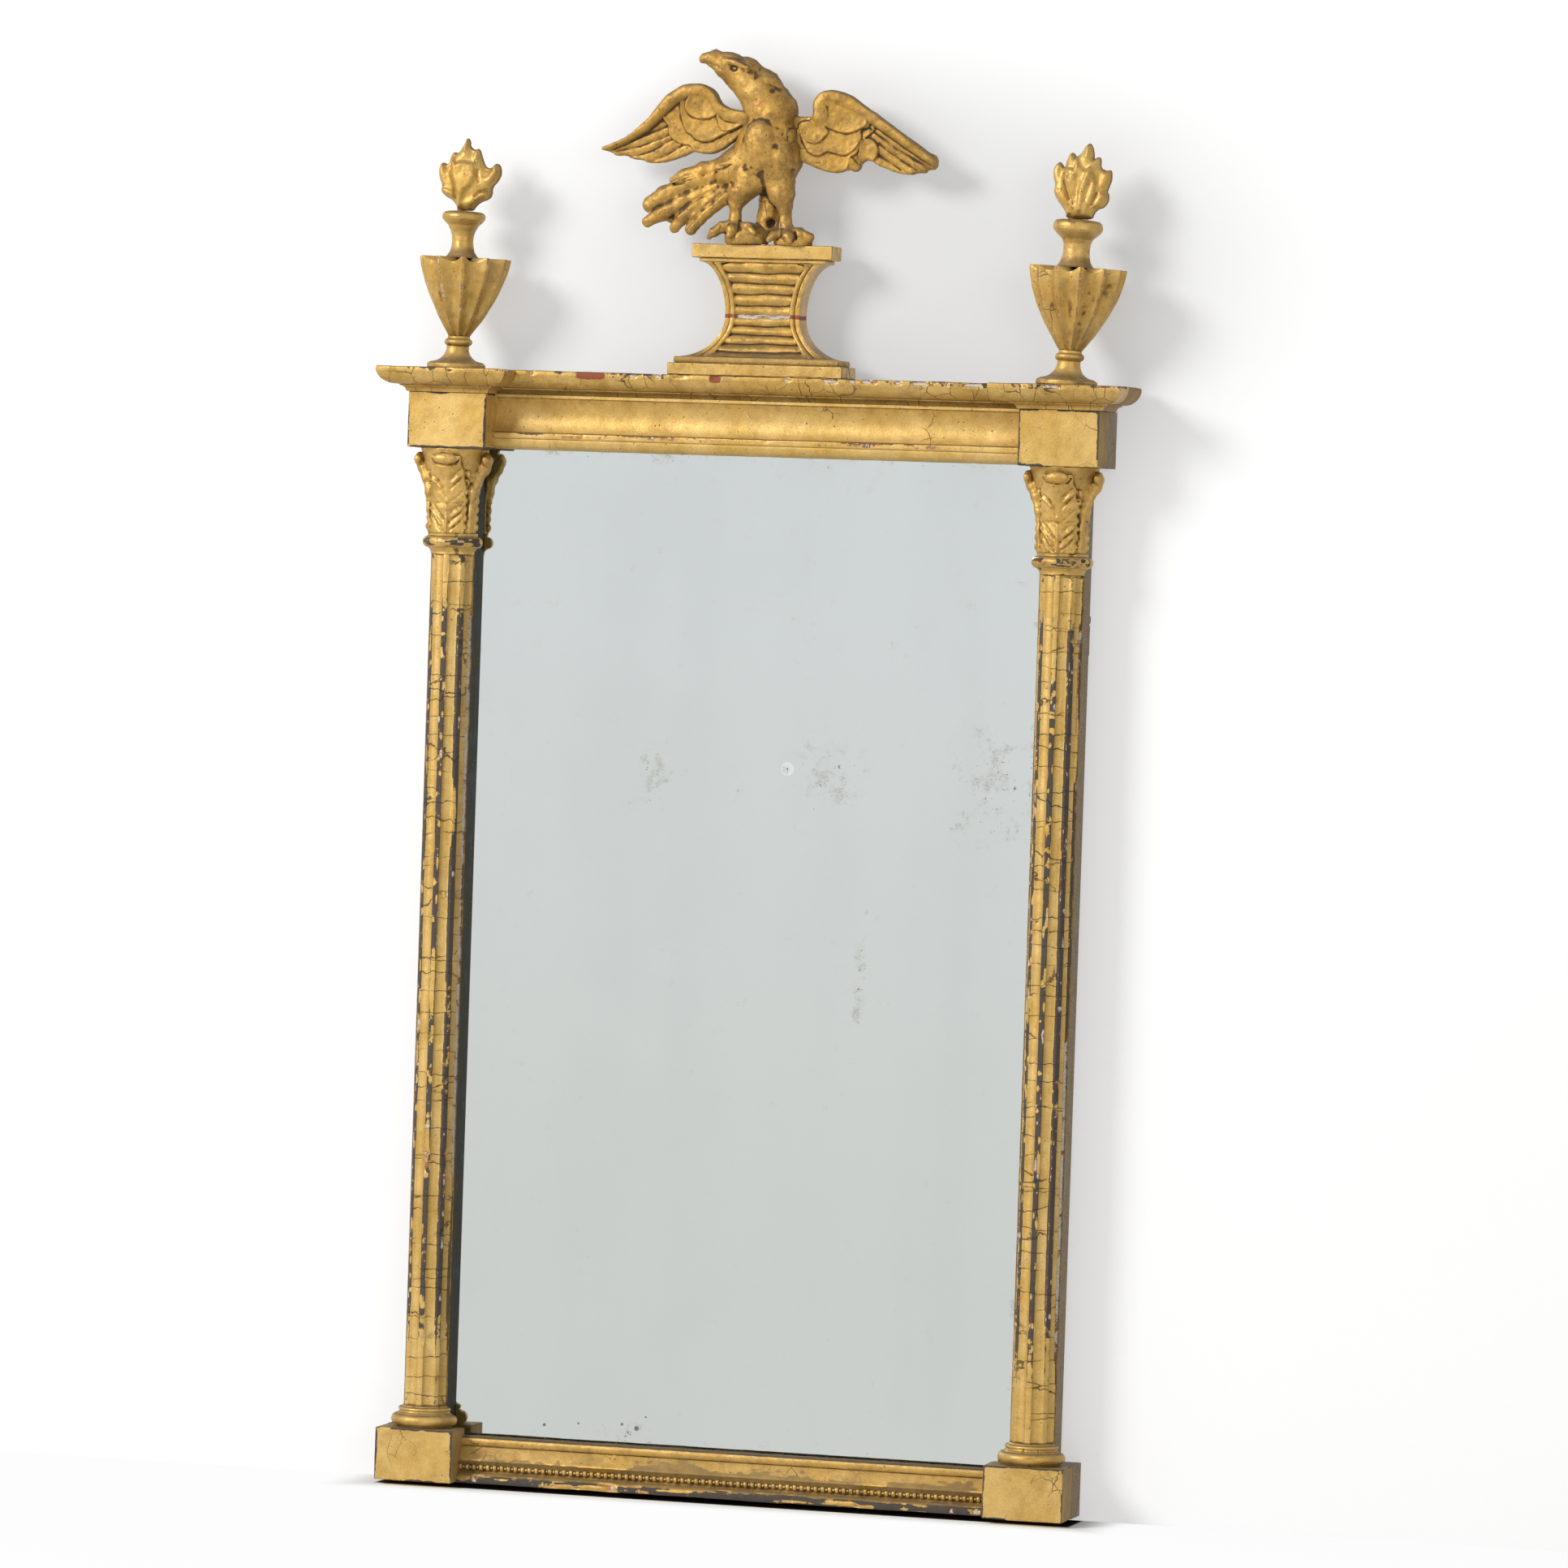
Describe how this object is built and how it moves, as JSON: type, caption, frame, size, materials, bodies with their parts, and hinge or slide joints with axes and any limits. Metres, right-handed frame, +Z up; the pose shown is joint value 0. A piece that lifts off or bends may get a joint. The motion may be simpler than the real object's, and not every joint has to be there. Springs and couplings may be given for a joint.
{
  "type": "carved giltwood mirror",
  "caption": "Tall wall mirror in a carved gilt frame: fluted half columns, leaf capitals, stepped cornice, beaded rail, an eagle on a hollowed plinth and flaming urns.",
  "frame": {"origin": "on the wall plane, on the centre line, at the underside of the bottom rail", "axes": "+Z up, +Y towards the wall, so the front faces -Y, +X to the viewer's right"},
  "size_m": [0.602, 0.081, 1.1315],
  "materials": {
    "gilt_wood": "worn water gilding over bole and gesso",
    "bare_pine": "aged, toned softwood",
    "old_mirror": "old silvered plate with losses",
    "wrought_iron": "dark forged iron"
  },
  "bodies": {
    "frame": {"backboard_lower": "bare_pine", "backboard_middle": "bare_pine", "backboard_nails": "wrought_iron", "backboard_upper": "bare_pine", "bead_strip": "gilt_wood", "bottom_block_left": "gilt_wood", "bottom_block_right": "gilt_wood", "bottom_rail_moulding": "gilt_wood", "capital_left": "gilt_wood", "capital_right": "gilt_wood", "column_base_left": "gilt_wood", "column_base_right": "gilt_wood", "column_ring_left": "gilt_wood", "column_ring_right": "gilt_wood", "column_shaft_left": "gilt_wood", "column_shaft_right": "gilt_wood", "cornice_board": "bare_pine", "cornice_centre": "gilt_wood", "cornice_front_left": "gilt_wood", "cornice_front_right": "gilt_wood", "cornice_inner_return_left": "gilt_wood", "cornice_inner_return_right": "gilt_wood", "cornice_outer_return_left": "gilt_wood", "cornice_outer_return_right": "gilt_wood", "eagle_body": "gilt_wood", "eagle_dowels": "bare_pine", "eagle_wing_left": "gilt_wood", "eagle_wing_right": "gilt_wood", "frieze_moulding": "gilt_wood", "glass_blocks": "bare_pine", "hanger_pins": "wrought_iron", "hanger_plate_left": "wrought_iron", "hanger_plate_right": "wrought_iron", "hanger_screws": "wrought_iron", "mirror_glass": "old_mirror", "plinth_base": "gilt_wood", "plinth_cap": "gilt_wood", "plinth_dowels": "bare_pine", "plinth_lower_body": "gilt_wood", "plinth_upper_body": "gilt_wood", "rear_bottom_rail": "bare_pine", "rear_top_rail": "bare_pine", "stile_left": "bare_pine", "stile_right": "bare_pine", "top_block_left": "gilt_wood", "top_block_right": "gilt_wood", "urn_bowl_left": "gilt_wood", "urn_bowl_right": "gilt_wood", "urn_cover_left": "gilt_wood", "urn_cover_right": "gilt_wood", "urn_dowels": "bare_pine", "urn_flame_left": "gilt_wood", "urn_flame_right": "gilt_wood", "urn_foot_left": "gilt_wood", "urn_foot_right": "gilt_wood", "wing_dowels": "bare_pine"},
    "eye_left": {"hanger_eye_left": "wrought_iron"},
    "eye_right": {"hanger_eye_right": "wrought_iron"}
  },
  "joints": [
    {"name": "eye_left_swing", "type": "hinge", "parent": "frame", "child": "eye_left", "pos_m": [-0.257, -0.005, 0.699], "axis": [1, 0, 0], "range_deg": [0, 180]},
    {"name": "eye_right_swing", "type": "hinge", "parent": "frame", "child": "eye_right", "pos_m": [0.257, -0.005, 0.699], "axis": [1, 0, 0], "range_deg": [0, 180]}
  ]
}
